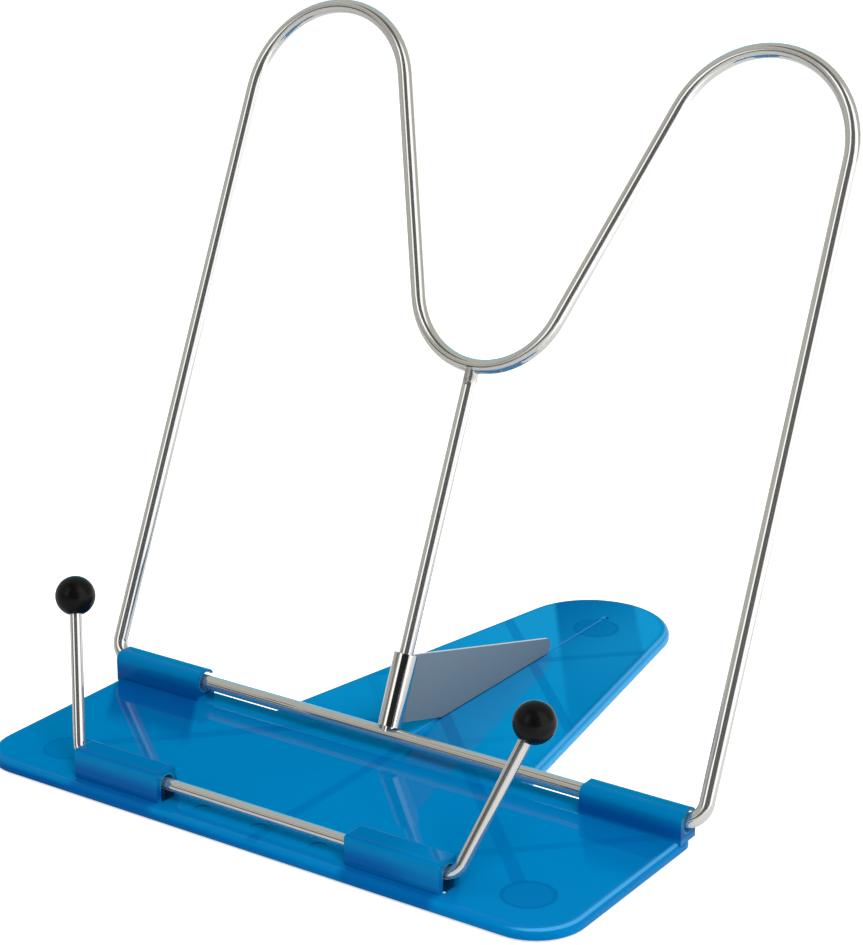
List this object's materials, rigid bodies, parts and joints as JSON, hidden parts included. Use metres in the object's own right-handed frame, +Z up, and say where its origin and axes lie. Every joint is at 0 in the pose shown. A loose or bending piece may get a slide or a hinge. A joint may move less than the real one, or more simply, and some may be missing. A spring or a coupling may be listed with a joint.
{
  "type": "folding bookstand",
  "caption": "Folding bookstand: moulded base with a tail, hinged bent-wire back frame, sheet prop fin and tilting wire page holder with ball ends.",
  "frame": {"origin": "centre of the bounding box seen from above, on the surface that the feet stand on", "axes": "+X across the stand to its right hand seen from the front, +Y back towards the tail, +Z up"},
  "size_m": [0.218, 0.2133, 0.2093],
  "materials": {
    "base_plastic": "translucent, glossy moulded plastic",
    "foot_rubber": "soft, matt",
    "plated_wire": "bright plated steel wire",
    "fin_sheet": "satin plated sheet steel",
    "ball_plastic": "satin black plastic"
  },
  "bodies": {
    "base": {"base": "base_plastic", "foot_pad_left": "foot_rubber", "foot_pad_right": "foot_rubber", "foot_pad_rear": "foot_rubber"},
    "frame": {"back_frame_wire": "plated_wire", "centre_rod": "plated_wire"},
    "fin": {"prop_fin": "fin_sheet"},
    "page_holder": {"page_holder_wire": "plated_wire", "ball_left": "ball_plastic", "ball_right": "ball_plastic"}
  },
  "joints": [
    {"name": "frame_fold", "type": "hinge", "parent": "base", "child": "frame", "pos_m": [0, -0.03615, 0.0086], "axis": [1, 0, 0], "range_deg": [0, 110]},
    {"name": "prop_swivel", "type": "hinge", "parent": "frame", "child": "fin", "pos_m": [0, -0.03615, 0.0086], "axis": [0, 0.4067, 0.9135], "range_deg": [-87, 87]},
    {"name": "page_holder_tilt", "type": "hinge", "parent": "base", "child": "page_holder", "pos_m": [0, -0.09805, 0.0081], "axis": [1, 0, 0], "range_deg": [-66, 112]}
  ]
}
